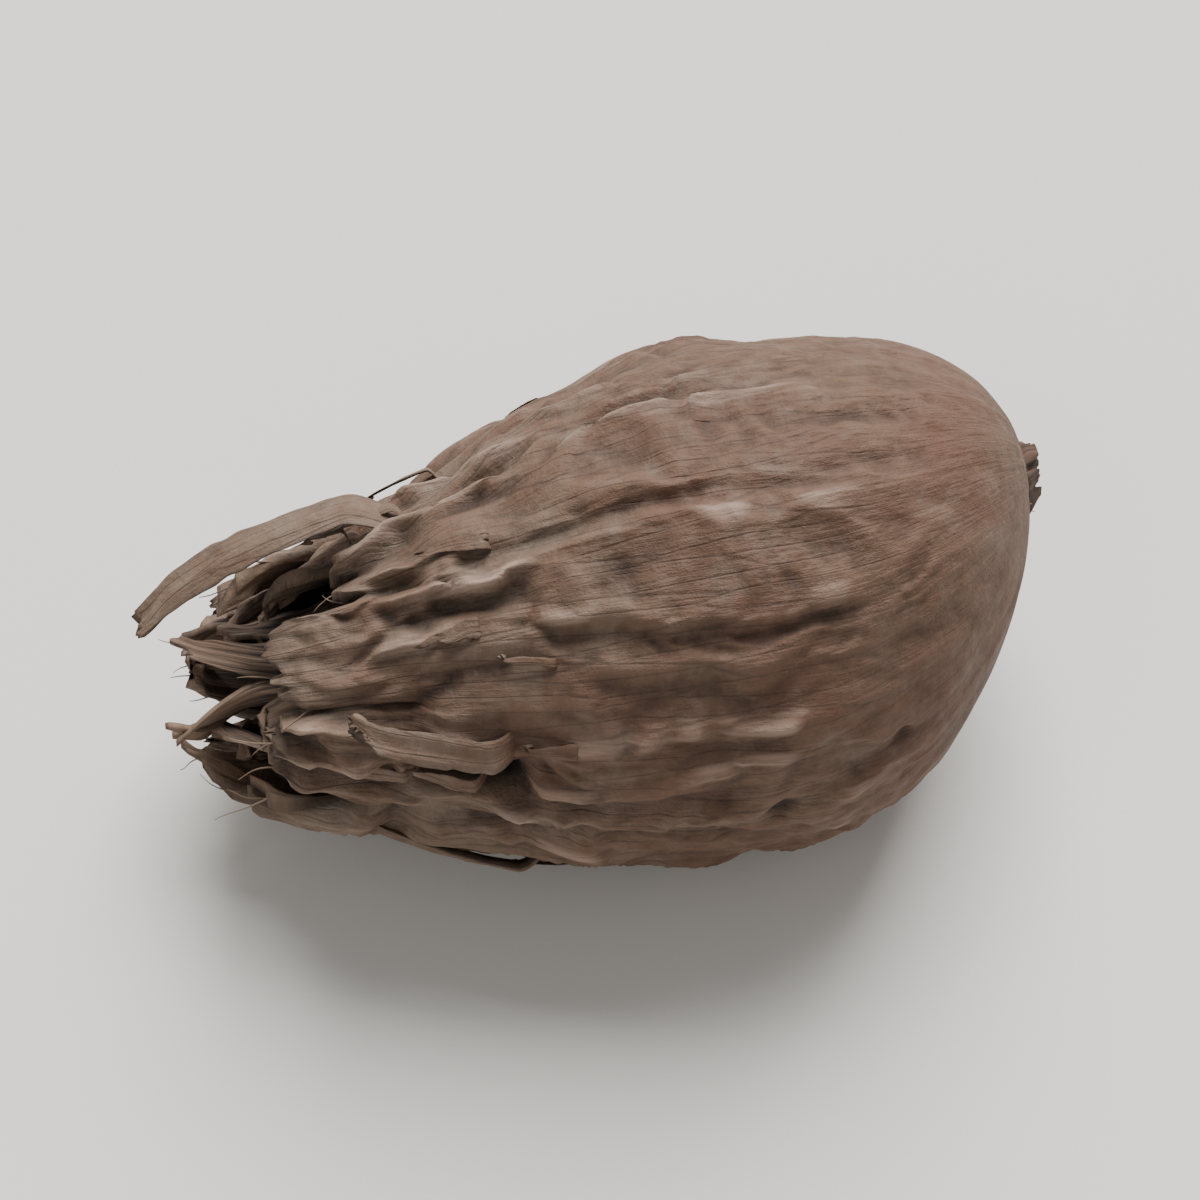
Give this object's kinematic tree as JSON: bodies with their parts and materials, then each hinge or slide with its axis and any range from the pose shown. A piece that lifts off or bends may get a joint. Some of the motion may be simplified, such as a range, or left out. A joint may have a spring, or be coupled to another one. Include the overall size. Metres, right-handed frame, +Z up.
{
  "type": "black cardamom pod",
  "caption": "Dried ribbed seed pod lying on its side, egg-shaped, with a rounded stalk end and a torn, fibrous tip; a large spice pod with a smoky flavour, used whole or for its seeds.",
  "frame": {"origin": "on the surface that the pod lies on, under the middle of its bounding box", "axes": "+X towards the stalk end, -X towards the torn tip, +Z up from the surface that it lies on"},
  "size_m": [0.0296, 0.0173, 0.0149],
  "materials": {
    "husk": "matte",
    "flower_tube": "matte",
    "stalk": "matte"
  },
  "bodies": {
    "root": {"husk": "husk", "flower_tube": "flower_tube", "stalk": "stalk"}
  },
  "joints": []
}
